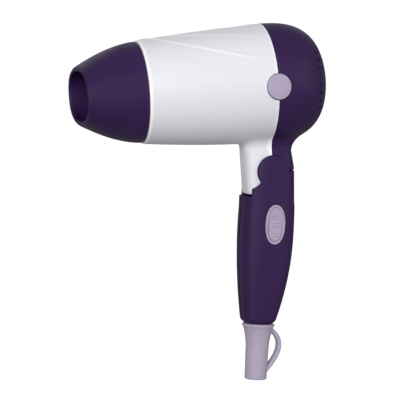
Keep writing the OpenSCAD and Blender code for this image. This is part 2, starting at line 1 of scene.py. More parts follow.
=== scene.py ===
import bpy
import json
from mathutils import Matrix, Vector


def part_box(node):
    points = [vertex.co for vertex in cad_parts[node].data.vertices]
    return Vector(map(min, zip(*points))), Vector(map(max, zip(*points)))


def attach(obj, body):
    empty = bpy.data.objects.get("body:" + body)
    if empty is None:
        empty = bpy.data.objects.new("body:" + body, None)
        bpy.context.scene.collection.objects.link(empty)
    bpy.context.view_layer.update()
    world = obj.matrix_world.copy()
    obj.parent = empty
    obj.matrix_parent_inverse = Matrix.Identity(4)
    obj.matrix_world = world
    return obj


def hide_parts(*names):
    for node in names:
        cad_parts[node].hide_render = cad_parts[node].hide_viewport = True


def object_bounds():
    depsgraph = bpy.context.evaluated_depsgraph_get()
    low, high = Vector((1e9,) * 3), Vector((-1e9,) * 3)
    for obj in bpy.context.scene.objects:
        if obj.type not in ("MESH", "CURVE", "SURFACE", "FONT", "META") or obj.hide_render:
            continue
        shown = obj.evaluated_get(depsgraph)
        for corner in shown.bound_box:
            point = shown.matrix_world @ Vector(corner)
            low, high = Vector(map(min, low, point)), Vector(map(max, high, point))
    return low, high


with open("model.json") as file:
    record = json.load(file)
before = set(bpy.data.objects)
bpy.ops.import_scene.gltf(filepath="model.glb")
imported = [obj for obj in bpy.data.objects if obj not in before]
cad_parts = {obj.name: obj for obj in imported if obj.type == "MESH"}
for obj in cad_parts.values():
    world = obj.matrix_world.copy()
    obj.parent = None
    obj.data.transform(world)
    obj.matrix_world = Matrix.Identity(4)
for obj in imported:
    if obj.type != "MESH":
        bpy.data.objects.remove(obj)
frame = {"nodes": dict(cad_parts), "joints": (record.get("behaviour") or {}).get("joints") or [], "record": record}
cadBox = [list(corner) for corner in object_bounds()]

import json
import math

import bmesh
import bpy
import numpy as np
from mathutils import Matrix, Vector

scene = bpy.context.scene
mm = 0.001  # shapes are worked out in millimetres and written in metres


def boxMm(node):
    low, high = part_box(node)
    return np.array(low) / mm, np.array(high) / mm


joints = {joint["name"]: joint for joint in frame["joints"]}
pivotX, pivotZ = joints["handle_fold"]["pos_m"][0] / mm, joints["handle_fold"]["pos_m"][2] / mm
slideAxis = joints["switch_slide"]["axis"]
lean = math.atan2(slideAxis[0], slideAxis[2])  # the open handle leans towards the nozzle
seamRear = boxMm("front_housing")[1][0]
nozzleGap = 0.2
seamFront = boxMm("nozzle")[1][0] + nozzleGap
domeEnd = boxMm("rear_housing")[1][0]
rearRadius = boxMm("rear_housing")[1][2]
handleT = -boxMm("handle_left")[0][1]
buttonLow, buttonHigh = boxMm("cool_button")
buttonZ = (buttonLow[2] + buttonHigh[2]) / 2
sleeveMount = [m for m in frame["record"]["mounts"] if m["name"] == "cord_inlet"][0]
sleeveBore = sleeveMount["dims"]["r_mm"]


def inHandle(v, u, y):
    # v runs back across the handle, u down it from the hinge pin, y across the barrel
    x = pivotX + v * math.cos(lean) - u * math.sin(lean)
    z = pivotZ - v * math.sin(lean) - u * math.cos(lean)
    return np.stack(np.broadcast_arrays(x, y, z), -1)


sleeveTip = np.array(sleeveMount["pos_m"]) / mm
handleToTip = -((sleeveTip[0] - pivotX) * math.sin(lean) + (sleeveTip[2] - pivotZ) * math.cos(lean))


def linear(code):
    # sRGB hex to linear red, green, blue, alpha
    values = [int(code[i:i + 2], 16) / 255 for i in (1, 3, 5)]
    return [v / 12.92 if v <= 0.04045 else ((v + 0.055) / 1.055) ** 2.4 for v in values] + [1]


def perMetre(sizeMm):
    # texture scale whose features are sizeMm across
    return 1000 / sizeMm


def addNode(tree, kind, values=None, links=None, **settings):
    node = tree.nodes.new(kind)
    for key, value in settings.items():
        setattr(node, key, value)
    for key, value in (values or {}).items():
        node.inputs[key].default_value = value
    for key, source in (links or {}).items():
        tree.links.new(source, node.inputs[key])
    return node


def startMaterial(name):
    material = bpy.data.materials.new(name)
    material.use_nodes = True
    tree = material.node_tree
    tree.nodes.clear()
    place = addNode(tree, "ShaderNodeTexCoord").outputs["Object"]
    return material, tree, place


def endMaterial(tree, colour, roughness, bump, fixed):
    shader = addNode(tree, "ShaderNodeBsdfPrincipled", fixed,
                     {"Base Color": colour, "Roughness": roughness, "Normal": bump})
    addNode(tree, "ShaderNodeOutputMaterial", links={"Surface": shader.outputs["BSDF"]})


def moulded(name, spec):
    # injection-moulded plastic: broad flow marks in the colour, a spark-eroded grain in the skin,
    # and a roughness that wanders where hands and tools have polished it
    material, tree, place = startMaterial(name)
    flow = addNode(tree, "ShaderNodeTexNoise", {"Scale": perMetre(spec["flowMm"]), "Detail": 3.0},
                   {"Vector": place})
    # a colour Mix node keeps its two colours on inputs 6 and 7, and the result on output 2
    colour = addNode(tree, "ShaderNodeMix", {6: linear(spec["shade"]), 7: linear(spec["colour"])},
                     {0: flow.outputs["Fac"]}, data_type="RGBA").outputs[2]
    if spec.get("lip"):
        # painted highlight: the colour is lightened towards the lip colour along the seams and creases, weighted
        # by the piece's own lip attribute
        edge = addNode(tree, "ShaderNodeAttribute", attribute_name="lip")
        colour = addNode(tree, "ShaderNodeMix", {7: linear(spec["lip"])},
                         {0: edge.outputs["Fac"], 6: colour}, data_type="RGBA").outputs[2]
    wander = addNode(tree, "ShaderNodeTexNoise", {"Scale": perMetre(spec["polishMm"]), "Detail": 5.0},
                     {"Vector": place})
    rough = addNode(tree, "ShaderNodeMapRange",
                    {"From Min": 0.3, "From Max": 0.7, "To Min": spec["rough"][0],
                     "To Max": spec["rough"][1]}, {"Value": wander.outputs["Fac"]})
    grain = addNode(tree, "ShaderNodeTexNoise", {"Scale": perMetre(spec["grainMm"]), "Detail": 2.0},
                    {"Vector": place})
    skin = addNode(tree, "ShaderNodeBump", {"Strength": spec["grain"], "Distance": spec["depthMm"] * mm},
                   {"Height": grain.outputs["Fac"]})
    wave = addNode(tree, "ShaderNodeTexNoise", {"Scale": perMetre(30), "Detail": 0.0}, {"Vector": place})
    sink = addNode(tree, "ShaderNodeBump", {"Strength": spec["sink"], "Distance": 0.2 * mm},
                   {"Height": wave.outputs["Fac"], "Normal": skin.outputs["Normal"]})
    endMaterial(tree, colour, rough.outputs["Result"], sink.outputs["Normal"], spec["fixed"])
    return material


def metal(name, spec):
    # drawn or rolled metal: lines along the working direction, darker where oil and oxide stay
    material, tree, place = startMaterial(name)
    turn = addNode(tree, "ShaderNodeMapping", {"Scale": spec["stretch"]}, {"Vector": place})
    lines = addNode(tree, "ShaderNodeTexNoise", {"Scale": perMetre(spec["lineMm"]), "Detail": 4.0},
                    {"Vector": turn.outputs["Vector"]})
    stain = addNode(tree, "ShaderNodeTexNoise", {"Scale": perMetre(5), "Detail": 4.0}, {"Vector": place})
    ramp = addNode(tree, "ShaderNodeValToRGB", links={"Fac": stain.outputs["Fac"]})
    ramp.color_ramp.elements[0].position = 0.35
    ramp.color_ramp.elements[0].color = linear(spec["stain"])
    ramp.color_ramp.elements[1].position = 0.6
    ramp.color_ramp.elements[1].color = linear(spec["colour"])
    rough = addNode(tree, "ShaderNodeMapRange",
                    {"From Min": 0.3, "From Max": 0.7, "To Min": spec["rough"][0],
                     "To Max": spec["rough"][1]}, {"Value": lines.outputs["Fac"]})
    cut = addNode(tree, "ShaderNodeBump", {"Strength": 0.25, "Distance": 0.02 * mm},
                  {"Height": lines.outputs["Fac"]})
    endMaterial(tree, ramp.outputs["Color"], rough.outputs["Result"], cut.outputs["Normal"],
                {"Metallic": 1.0})
    return material


def layered(name, spec):
    # board or sheet with flakes or tracks in it: cells of two tones under a thin varnish
    material, tree, place = startMaterial(name)
    turn = addNode(tree, "ShaderNodeMapping", {"Scale": spec["stretch"]}, {"Vector": place})
    cells = addNode(tree, "ShaderNodeTexVoronoi", {"Scale": perMetre(spec["cellMm"])},
                    {"Vector": turn.outputs["Vector"]})
    ramp = addNode(tree, "ShaderNodeValToRGB", links={"Fac": cells.outputs["Distance"]})
    ramp.color_ramp.elements[0].position = 0.15
    ramp.color_ramp.elements[0].color = linear(spec["shade"])
    ramp.color_ramp.elements[1].position = 0.5
    ramp.color_ramp.elements[1].color = linear(spec["colour"])
    wander = addNode(tree, "ShaderNodeTexNoise", {"Scale": perMetre(3), "Detail": 3.0}, {"Vector": place})
    rough = addNode(tree, "ShaderNodeMapRange", {"To Min": spec["rough"][0], "To Max": spec["rough"][1]},
                    {"Value": wander.outputs["Fac"]})
    flakes = addNode(tree, "ShaderNodeBump", {"Strength": 0.4, "Distance": 0.05 * mm},
                     {"Height": cells.outputs["Distance"]})
    endMaterial(tree, ramp.outputs["Color"], rough.outputs["Result"], flakes.outputs["Normal"], {"IOR": 1.55})
    return material


print("materials")
finishes = {
    # ABS moulded in a spark-eroded tool: satin, deep colour, soft wide highlights
    "purpleAbs": moulded("purple ABS, satin moulded", {
        "colour": "#321A4A", "shade": "#2D1743", "flowMm": 22, "polishMm": 14, "rough": (0.46, 0.56),
        "grainMm": 0.8, "depthMm": 0.02, "grain": 0.25, "sink": 0.12,
        "fixed": {"IOR": 1.45, "Specular IOR Level": 0.22}}),
    # ABS moulded in a polished tool: sharp highlights, faint sink marks
    "whiteAbs": moulded("white ABS, polished moulded", {
        # lip: white painted highlight, mixed into the colour along the seams and creases
        "colour": "#E2E1E8", "shade": "#DDDCE3", "lip": "#FFFFFF", "flowMm": 35, "polishMm": 20,
        "rough": (0.34, 0.38), "grainMm": 2.5, "depthMm": 0.01, "grain": 0.03, "sink": 0.05,
        "fixed": {"IOR": 1.5, "Specular IOR Level": 0.35, "Coat Weight": 0.08, "Coat Roughness": 0.2}}),
    # ABS with a fine matt grain: chalky, no clear reflections
    "lilacAbs": moulded("lilac ABS, matt moulded", {
        "colour": "#A99DB6", "shade": "#A195AE", "flowMm": 9, "polishMm": 5, "rough": (0.48, 0.6),
        "grainMm": 0.7, "depthMm": 0.03, "grain": 0.3, "sink": 0.1, "fixed": {"IOR": 1.53}}),
    # plasticised PVC: soft, waxy, slightly see-through at thin edges
    "lilacPvc": moulded("lilac soft PVC", {
        "colour": "#AFA4B8", "shade": "#A79BB0", "flowMm": 12, "polishMm": 6, "rough": (0.5, 0.62),
        "grainMm": 0.9, "depthMm": 0.04, "grain": 0.3, "sink": 0.25,
        "fixed": {"IOR": 1.5, "Subsurface Weight": 0.06, "Subsurface Scale": 0.002}}),
    # glass-filled nylon: dry, dark, with fibre marks
    "darkNylon": moulded("dark nylon, glass filled", {
        "colour": "#241A2C", "shade": "#1A1420", "flowMm": 4, "polishMm": 3, "rough": (0.5, 0.7),
        "grainMm": 0.5, "depthMm": 0.05, "grain": 0.4, "sink": 0.1, "fixed": {"IOR": 1.53}}),
    "whiteNylon": moulded("natural nylon", {
        "colour": "#E2E0DA", "shade": "#D5D2C9", "flowMm": 4, "polishMm": 3, "rough": (0.45, 0.6),
        "grainMm": 0.5, "depthMm": 0.04, "grain": 0.3, "sink": 0.1,
        "fixed": {"IOR": 1.53, "Subsurface Weight": 0.1, "Subsurface Scale": 0.001}}),
    # silicone wire sleeve: dull, red-brown
    "leadSilicone": moulded("silicone wire sleeve", {
        "colour": "#7A3B2E", "shade": "#6A3026", "flowMm": 3, "polishMm": 2, "rough": (0.5, 0.65),
        "grainMm": 0.4, "depthMm": 0.03, "grain": 0.3, "sink": 0.1, "fixed": {"IOR": 1.41}}),
    # zinc-plated steel: pale, slightly cloudy
    "zincSteel": metal("zinc plated steel", {
        "colour": "#C6C7CA", "stain": "#A9ABB0", "stretch": (1, 0.1, 1), "lineMm": 0.4,
        "rough": (0.28, 0.42)}),
    # rolled steel can with lines round it
    "motorCan": metal("rolled steel can", {
        "colour": "#A8AAAE", "stain": "#8C8F94", "stretch": (1, 0.08, 0.08), "lineMm": 0.3,
        "rough": (0.3, 0.5)}),
    # nickel-chrome wire, brown-grey from heat
    "heaterWire": metal("nickel chrome wire, oxidised", {
        "colour": "#8C8078", "stain": "#5E534E", "stretch": (1, 0.3, 0.3), "lineMm": 0.5,
        "rough": (0.4, 0.6)}),
    "plainAluminium": metal("plain aluminium", {
        "colour": "#D4D5D8", "stain": "#B9BBC0", "stretch": (0.1, 1, 1), "lineMm": 0.4,
        "rough": (0.25, 0.4)}),
    # pressed mica: golden flakes
    "micaBoard": layered("pressed mica board", {
        "colour": "#C9B98F", "shade": "#A8915C", "cellMm": 2.5, "stretch": (1, 1, 1), "rough": (0.3, 0.55)}),
    # glass-fibre board under green lacquer
    "circuitBoard": layered("lacquered circuit board", {
        "colour": "#1F5A38", "shade": "#3E7A50", "cellMm": 2, "stretch": (1, 1, 0.35), "rough": (0.25, 0.4)}),
}

nodeFinish = {
    "nozzle_grille": "darkNylon", "lint_screen": "zincSteel", "button_spring": "zincSteel",
    "button_switch": "darkNylon", "hinge_pin": "zincSteel", "hinge_washers": "zincSteel",
    "slide_switch": "darkNylon", "switch_leads": "leadSilicone", "cord_clamp": "whiteNylon",
    "clamp_screws": "zincSteel", "handle_screws": "zincSteel", "housing_screw": "zincSteel",
    "heat_tube": "micaBoard", "mica_cross": "micaBoard", "heater_coils": "heaterWire",
    "thermostat": "plainAluminium", "thermal_fuse": "plainAluminium", "stator": "darkNylon",
    "motor": "motorCan", "motor_screws": "zincSteel", "motor_shaft": "zincSteel",
    "impeller": "darkNylon", "rectifier_board": "circuitBoard",
}
for node, finish in nodeFinish.items():
    slots = frame["nodes"][node].data.materials
    slots.clear()
    slots.append(finishes[finish])


def gridFaces(rows, cols, wrapRows=False, wrapCols=True):
    # quads between neighbours of a rows x cols grid of points
    r, c = np.meshgrid(np.arange(rows if wrapRows else rows - 1), np.arange(cols if wrapCols else cols - 1),
                       indexing="ij")
    r2, c2 = (r + 1) % rows, (c + 1) % cols
    return np.stack([r * cols + c, r * cols + c2, r2 * cols + c2, r2 * cols + c], -1).reshape(-1, 4)


def addMesh(name, parts, sharpAngle=38):
    # parts are (points in mm, quads); each is a closed surface of its own
    points, faces, start = [], [], 0
    for partPoints, partFaces in parts:
        flat = np.asarray(partPoints, float).reshape(-1, 3)
        points.append(flat * mm)
        faces.append(partFaces + start)
        start += len(flat)
    mesh = bpy.data.meshes.new(name)
    mesh.from_pydata(np.concatenate(points).tolist(), [], np.concatenate(faces).tolist())
    cleaned = bmesh.new()
    cleaned.from_mesh(mesh)
    bmesh.ops.remove_doubles(cleaned, verts=cleaned.verts, dist=1e-6)
    bmesh.ops.dissolve_degenerate(cleaned, edges=cleaned.edges, dist=1e-7)
    bmesh.ops.recalc_face_normals(cleaned, faces=cleaned.faces)
    cleaned.to_mesh(mesh)
    cleaned.free()
    piece = bpy.data.objects.new(name, mesh)
    scene.collection.objects.link(piece)
    piece["sharpAngle"] = sharpAngle
    return piece


def carve(piece, cutter):
    # takes the cutter's volume out of the piece and throws the cutter away
    cut = piece.modifiers.new("cut", "BOOLEAN")
    cut.operation = "DIFFERENCE"
    cut.solver = "EXACT"
    cut.object = cutter
    bpy.context.view_layer.update()
    carved = bpy.data.meshes.new_from_object(piece.evaluated_get(bpy.context.evaluated_depsgraph_get()))
    piece.modifiers.clear()
    piece.data = carved
    bpy.data.objects.remove(cutter)


def joinInto(piece, other):
    # adds the other closed surface to the piece's mesh
    both = bmesh.new()
    both.from_mesh(piece.data)
    both.from_mesh(other.data)
    both.to_mesh(piece.data)
    both.free()
    bpy.data.objects.remove(other)


def finishPiece(piece, finish, body, slot, *nodes):
    mesh = piece.data
    mesh.materials.clear()
    mesh.materials.append(finishes[finish])
    mesh.polygons.foreach_set("use_smooth", np.ones(len(mesh.polygons), bool))
    mesh.set_sharp_from_angle(angle=math.radians(piece["sharpAngle"]))
    del piece["sharpAngle"]
    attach(piece, body)
    if nodes:
        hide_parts(*nodes)
    print("%s: %d faces" % (piece.name, len(mesh.polygons)))


def oval(angle, halfA, halfB, power):
    # |a / halfA|^power + |b / halfB|^power = 1, walked by angle
    c, s = np.cos(angle), np.sin(angle)
    return (halfA * np.sign(c) * np.abs(c) ** (2 / power), halfB * np.sign(s) * np.abs(s) ** (2 / power))


def quarter(count, start=0, end=90):
    # sine and cosine of an arc's steps
    angle = np.radians(np.linspace(start, end, count))
    return np.sin(angle), np.cos(angle)


def aroundX(x, radius, cols):
    # revolves a profile about the barrel's axis; column 0 faces the switch side
    turn = np.linspace(0, 2 * np.pi, cols, endpoint=False)
    x, radius = np.asarray(x)[:, None], np.asarray(radius)
    radius = radius if radius.ndim == 2 else radius[:, None]
    return np.stack(np.broadcast_arrays(x, -radius * np.cos(turn), radius * np.sin(turn)), -1)


nozzleSize = {
    "mouthWidth": 60, "mouthHeight": 33,  # outside, at the lip
    "baseRadius": 29.1, "taper": 1.74,  # the height swells faster than the width narrows
    "wall": 2.0, "lipWall": 2.7, "wallFrom": 12,  # the wall thins from the lip to wallFrom
    "edge": 1.1, "socketRadius": 26.8, "socketDepth": 7, "chamfer": 0.4,
}


def nozzleRing(x, inset, angle):
    # oval whose height grows as 1 - (1 - t)^taper and whose width shrinks evenly to the round base
    s = nozzleSize
    t = np.clip(x / seamFront, 0, 1)
    halfH = s["mouthHeight"] / 2 + (s["baseRadius"] - s["mouthHeight"] / 2) * (1 - (1 - t) ** s["taper"])
    halfW = s["mouthWidth"] / 2 + (s["baseRadius"] - s["mouthWidth"] / 2) * t
    power = 2.5 - 0.5 * t
    return oval(angle, halfW - inset, halfH - inset, power)


def buildNozzle():
    s = nozzleSize
    end = seamFront - nozzleGap
    lip = s["lipWall"] / 2
    roundS, roundC = quarter(7)
    halfS, halfC = quarter(19, 0, 180)
    baseX = end - s["edge"] * (1 - roundS)
    baseInset = s["edge"] * (1 - roundC)
    outerX = np.linspace(end - s["edge"], lip, 40)[1:-1]
    innerX = np.linspace(lip, end - s["socketDepth"], 24)[1:]
    x = np.concatenate([baseX[::-1], outerX, lip * (1 - halfS), innerX])
    inset = np.concatenate([baseInset[::-1], np.zeros(len(outerX)), lip * (1 - halfC),
                            np.interp(innerX, [lip, s["wallFrom"]], [s["lipWall"], s["wall"]])])
    cols = 144
    turn = np.linspace(0, 2 * np.pi, cols, endpoint=False)
    a, b = nozzleRing(x[:, None], inset[:, None], turn)
    shell = np.stack(np.broadcast_arrays(x[:, None], -a, b), -1)
    socketX = [end - s["socketDepth"], end - s["chamfer"], end]
    socket = aroundX(socketX, [s["socketRadius"], s["socketRadius"], s["socketRadius"] + s["chamfer"]], cols)
    points = np.concatenate([shell, socket])
    piece = addMesh("nozzleShell", [(points, gridFaces(len(points), cols, wrapRows=True))])
    finishPiece(piece, "purpleAbs", "nozzle", "purple_shell", "nozzle")


print("nozzle")
buildNozzle()

barrelSize = {
    "frontRadius": 29.8, "swell": 1.7, "wall": 2.0, "frontEdge": 0.8, "tongueLength": 2.4,
    "spigotRadius": 26.7, "spigotLength": 6, "spigotWall": 1.6, "spigotEdge": 0.3,
    "domePower": 2.8, "edge": 0.45, "gap": 0.12,
    # each crease: height, slope, step, where its fade starts and ends, strength of the painted highlight along its
    # edge
    "creases": [(42.0, -0.272, 0.42, 92, 106, 0.8), (34.0, -0.055, 0.22, 96, 108, 0.45)],
    "creaseWidth": 1.3, "creaseHighlightWidth": 0.6, "creaseHighlightLead": 10, "cols": 288,
}
neckSize = {
    "front": 15.0, "back": 14.3, "halfWidth": 11, "cornerPower": 4.2, "chin": 12.5, "tip": 0.3,
    "backDraw": 0.08,  # share by which the rear half is drawn in towards its top
    "sideFillet": 4.5, "frontFillet": 2.6, "backFillet": 7.5, "gap": 0.12,
    "cols": 72, "edge": 1.2, "sunk": (0.2, 0.5), "capZ": -30.5,  # sunk: out and up into the barrel's skin
}
# outer and inner: the radii between which each ring of slots runs
slotSize = {"count": 36, "width": 1.5, "outer": (25.5, 28.5), "inner": (5.5, 14.5), "start": 20, "length": 22}
holeSize = {"a": 7.45, "b": 7.75, "outside": -45, "inside": -26}


def shellRadius(x):
    # swells from the nozzle seam to the rear seam, steepest at the nozzle
    s = barrelSize
    t = np.clip((x - seamFront) / (seamRear - seamFront), 0, 1)
    return s["frontRadius"] + (rearRadius - s["frontRadius"]) * (1 - (1 - t) ** s["swell"])


def domeRadius(x):
    # super-oval profile of the rear housing
    s = barrelSize
    t = np.clip((x - seamRear) / (domeEnd - seamRear), 0, 1)
    return rearRadius * (1 - t ** s["domePower"]) ** (1 / s["domePower"])


def smoothStep(t):
    t = np.clip(t, 0, 1)
    return t * t * (3 - 2 * t)


def creaseDrop(x, z):
    # above each sloping plane the skin steps in a little, and the step fades towards the rear seam
    drop = np.zeros(np.broadcast(x, z).shape)
    for height, slope, step, fadeFrom, fadeTo, _ in barrelSize["creases"]:
        above = smoothStep((z - height - slope * x) / barrelSize["creaseWidth"])
        drop = drop + step * above * (1 - smoothStep((x - fadeFrom) / (fadeTo - fadeFrom)))
    return drop


def barrelUnderside(x, y):
    radius = np.where(x < seamRear, shellRadius(x), domeRadius(x))
    return -np.sqrt(np.maximum(radius ** 2 - y ** 2, 1))


def neckHalf(start, end, length, depth):
    # half of a rounded-oblong column, walked from one side of the seam to the other, whose top
    # flares out along a quarter round and lands on the barrel's underside
    s = neckSize
    across = np.radians(np.linspace(start, end, s["cols"]))
    outX, outY = oval(across, length, s["halfWidth"], s["cornerPower"])
    normalX = np.abs(outX / length) ** (s["cornerPower"] - 1) * np.sign(outX) / length
    normalY = np.abs(outY / s["halfWidth"]) ** (s["cornerPower"] - 1) * np.sign(outY) / s["halfWidth"]
    size = np.hypot(normalX, normalY)
    normalX, normalY = normalX / size, normalY / size
    fillet = np.where(normalX < 0, s["frontFillet"], s["backFillet"])
    fillet = s["sideFillet"] + (fillet - s["sideFillet"]) * normalX ** 2
    seamX = seamRear + (s["gap"] if outX.max() > 1 else -s["gap"])
    bottom, edge = pivotZ - depth, s["edge"]
    sinA, cosA = quarter(6)
    rings = []
    for inset, z in [(length, bottom)] + list(zip(edge * (1 - sinA), bottom + edge * (1 - cosA))):
        rings.append((outX * (1 - inset / length), outY * (1 - inset / length), np.full(s["cols"], z)))
    top = barrelUnderside(seamRear + outX, outY) - fillet
    for k in np.linspace(0, 1, 14)[1:]:
        drawn = outX * (1 - s["backDraw"] * k * (outX > 0))
        rings.append((drawn, outY, bottom + edge + (top - bottom - edge) * k))
    outX = drawn
    for sine, cosine in zip(*quarter(14)):
        x, y = outX + normalX * fillet * (1 - cosine), outY + normalY * fillet * (1 - cosine)
        rings.append((x, y, barrelUnderside(seamRear + x, y) - fillet * (1 - sine)))
    x, y, z = rings[-1]
    sunkOut, sunkUp = s["sunk"]
    rings.append((x + normalX * sunkOut, y + normalY * sunkOut, z + sunkUp))
    # two last rings close the top inside the barrel's wall
    for share in (0.5, 0):
        rings.append((outX * share, outY * share, np.full(s["cols"], s["capZ"])))
    points = np.stack([np.stack([seamX + x, y, z], -1) for x, y, z in rings])
    # straight run back along the seam closes each ring
    back = np.linspace(0, 1, 14)[1:-1, None]
    closing = points[:, -1:, :] * (1 - back) + points[:, :1, :] * back
    points = np.concatenate([points, closing], 1)
    return points, gridFaces(len(points), points.shape[1])


def buttonCutter():
    s = holeSize
    turn = np.linspace(0, 2 * np.pi, 96, endpoint=False)
    a, b = oval(turn, s["a"], s["b"], 2)
    rows = [np.stack([seamRear + a * k, np.full(96, y), buttonZ + b * k], -1)
            for k, y in ((0, s["outside"]), (1, s["outside"]), (1, s["inside"]), (0, s["inside"]))]
    return addMesh("holeCutter", [(np.stack(rows), gridFaces(4, 96))])


def slotCutters():
    parts = []
    cube = np.array([[0, 0, 0], [1, 0, 0], [1, 1, 0], [0, 1, 0],
                     [0, 0, 1], [1, 0, 1], [1, 1, 1], [0, 1, 1]], float)
    quads = np.array([[0, 3, 2, 1], [4, 5, 6, 7], [0, 1, 5, 4], [1, 2, 6, 5], [2, 3, 7, 6], [3, 0, 4, 7]])
    for count, (inner, outer) in ((slotSize["count"], slotSize["outer"]),
                                  (slotSize["count"] // 2, slotSize["inner"])):
        for i in range(count):
            turn = (i + 0.5) * 2 * math.pi / count
            x = seamRear + slotSize["start"] + cube[:, 0] * slotSize["length"]
            side = (cube[:, 1] - 0.5) * slotSize["width"]
            out = inner + cube[:, 2] * (outer - inner)
            parts.append((np.stack([x, out * math.cos(turn) - side * math.sin(turn),
                                    out * math.sin(turn) + side * math.cos(turn)], -1), quads))
    return addMesh("slotCutter", parts)


def markPaintedHighlight(piece, reach):
    # weight of a painted highlight: how near a point is to the ends of the white shell and to the creases, where
    # the colour is lightened towards the lip colour
    points = np.zeros(len(piece.data.vertices) * 3)
    piece.data.vertices.foreach_get("co", points)
    x, z = points[0::3] / mm, points[2::3] / mm
    near = np.exp(-((x - seamRear) / reach) ** 2) + np.exp(-((x - seamFront - 0.3) / reach) ** 2)
    lead = barrelSize["creaseHighlightLead"]  # the bright edge starts to fade this far before its step
    for height, slope, _, fadeFrom, fadeTo, weight in barrelSize["creases"]:
        line = np.exp(-((z - height - slope * x) / barrelSize["creaseHighlightWidth"]) ** 2)
        near = near + weight * line * (1 - smoothStep((x - fadeFrom + lead) / (fadeTo - fadeFrom + lead)))
    # the lip attribute carries the painted highlight's weight
    attribute = piece.data.attributes.new("lip", "FLOAT", "POINT")
    attribute.data.foreach_set("value", np.clip(near, 0, 1))


def buildFrontShell():
    s = barrelSize
    front, end, edge, frontEdge = seamFront, seamRear - s["gap"], s["edge"], s["frontEdge"]
    sinA, cosA = quarter(6)
    spigotEnd, spigotR = front - s["spigotLength"], s["spigotRadius"]
    spigotX = [spigotEnd + s["spigotEdge"], spigotEnd, spigotEnd + s["spigotEdge"]]
    outerX = np.linspace(front + frontEdge, end - edge, 110)[1:-1]
    innerX = np.linspace(end - 1, front + 3, 30)
    tongueX = [end, end + s["tongueLength"], end + s["tongueLength"], end]
    x = np.concatenate([spigotX, [front], front + frontEdge * (1 - cosA), outerX,
                        end - edge * (1 - sinA), tongueX, innerX, [front + 2.9]])
    # each row's radius: spigot, skin, rear edge, tongue under the rear housing, inside, spigot's bore
    radius = np.concatenate([
        [spigotR - s["spigotWall"], spigotR - s["spigotWall"] / 2, spigotR, spigotR],
        shellRadius(front) - frontEdge * (1 - sinA), shellRadius(outerX), rearRadius - edge * (1 - cosA),
        rearRadius - np.array([1, 1.05, 1.9, 2]), shellRadius(innerX) - s["wall"],
        [spigotR - s["spigotWall"]]])
    turn = np.linspace(0, 2 * np.pi, s["cols"], endpoint=False)
    # the creases step in the outer skin alone
    outside = np.concatenate([np.zeros(len(spigotX) + 1), np.ones(len(cosA) + len(outerX) + len(sinA)),
                              np.zeros(len(tongueX) + len(innerX) + 1)])
    shape = radius[:, None] - outside[:, None] * creaseDrop(x[:, None], radius[:, None] * np.sin(turn))
    points = aroundX(x, shape, s["cols"])
    piece = addMesh("frontShell", [(points, gridFaces(len(points), s["cols"], wrapRows=True))], 30)
    carve(piece, buttonCutter())
    neck = addMesh("frontNeck", [neckHalf(270, 90, neckSize["front"], neckSize["chin"])])
    joinInto(piece, neck)
    # paints a highlight into the white shell's colour at its seams and creases
    markPaintedHighlight(piece, 0.9)
    finishPiece(piece, "whiteAbs", "barrel", "white_shell", "front_housing")


def buildRearShell():
    s = barrelSize
    start, edge = seamRear + s["gap"], s["edge"]
    sinA, cosA = quarter(6)
    around = np.radians(np.linspace(0, 90, 64))
    domeX = seamRear + (domeEnd - seamRear) * np.sin(around) ** (2 / s["domePower"])
    domeR = rearRadius * np.cos(around) ** (2 / s["domePower"])
    keep = domeX > start + edge + 0.2
    insideX = seamRear + (domeEnd - seamRear - s["wall"]) * np.sin(around) ** (2 / s["domePower"])
    insideR = (rearRadius - s["wall"]) * np.cos(around) ** (2 / s["domePower"])
    inner = insideX > start + 3
    x = np.concatenate([[start + 2.9, start + 2.6, start], start + edge * (1 - cosA), domeX[keep],
                        insideX[inner][::-1]])
    radius = np.concatenate([[rearRadius - 2, rearRadius - 0.9, rearRadius - 0.9],
                             rearRadius - edge * (1 - sinA), domeR[keep], insideR[inner][::-1]])
    radius = np.where(radius < 1e-6, 0, radius)
    points = aroundX(x, radius, s["cols"])
    piece = addMesh("rearShell", [(points, gridFaces(len(points), s["cols"], wrapRows=True))], 30)
    carve(piece, buttonCutter())
    carve(piece, slotCutters())
    neck = addMesh("rearNeck", [neckHalf(-90, 90, neckSize["back"], neckSize["tip"])])
    joinInto(piece, neck)
    finishPiece(piece, "purpleAbs", "barrel", "purple_shell", "rear_housing")


print("barrel")
buildFrontShell()
buildRearShell()

handleSize = {
    "length": 89.6, "halfWidth": 15.8, "power": 3.2, "belly": 35, "lobe": 9.7,
    "widthDraw": (0.0013, 0.0022),  # per millimetre squared, above and below the belly
    "thickDraw": 0.0011, "thickFrom": 30,
    "offset": 0.3, "sway": 0.0008, "swayFrom": 40, "swayBlend": 6,
    "cutCentre": (-15.5, 1.1), "cutRadius": 9.8, "cutTop": 6.41,  # round bite that clears the chin
    "skin": 11.2, "skinFront": -12.3, "shoulder": 0.6, "climbFade": 8, "wallTop": 15.1,
    "pocketRadius": 19.9, "pocketBelow": 6, "rearWall": 12.6, "flat": 0.06,
    "edge": 0.9, "foot": 3.2, "groove": 0.3, "grooveDepth": 0.35, "grooveFrom": 4, "cols": 96,
}


def handleHalfWidth(u):
    s = handleSize
    above, below = s["widthDraw"]
    return s["halfWidth"] - np.where(u > s["belly"], below, above) * (u - s["belly"]) ** 2


def handleHalfThick(u):
    s = handleSize
    return handleT - np.where(u > s["thickFrom"], s["thickDraw"], 0) * (u - s["thickFrom"]) ** 2


def distanceTo(points, line):
    # nearest distance from each point to a run of straight pieces
    a, b = line[:-1], line[1:]
    along = b - a
    t = np.einsum("pkc,kc->pk", points[:, None] - a[None], along) / np.maximum((along ** 2).sum(-1), 1e-9)
    nearest = a[None] + np.clip(t, 0, 1)[..., None] * along[None]
    return np.sqrt(((points[:, None] - nearest) ** 2).sum(-1)).min(1)


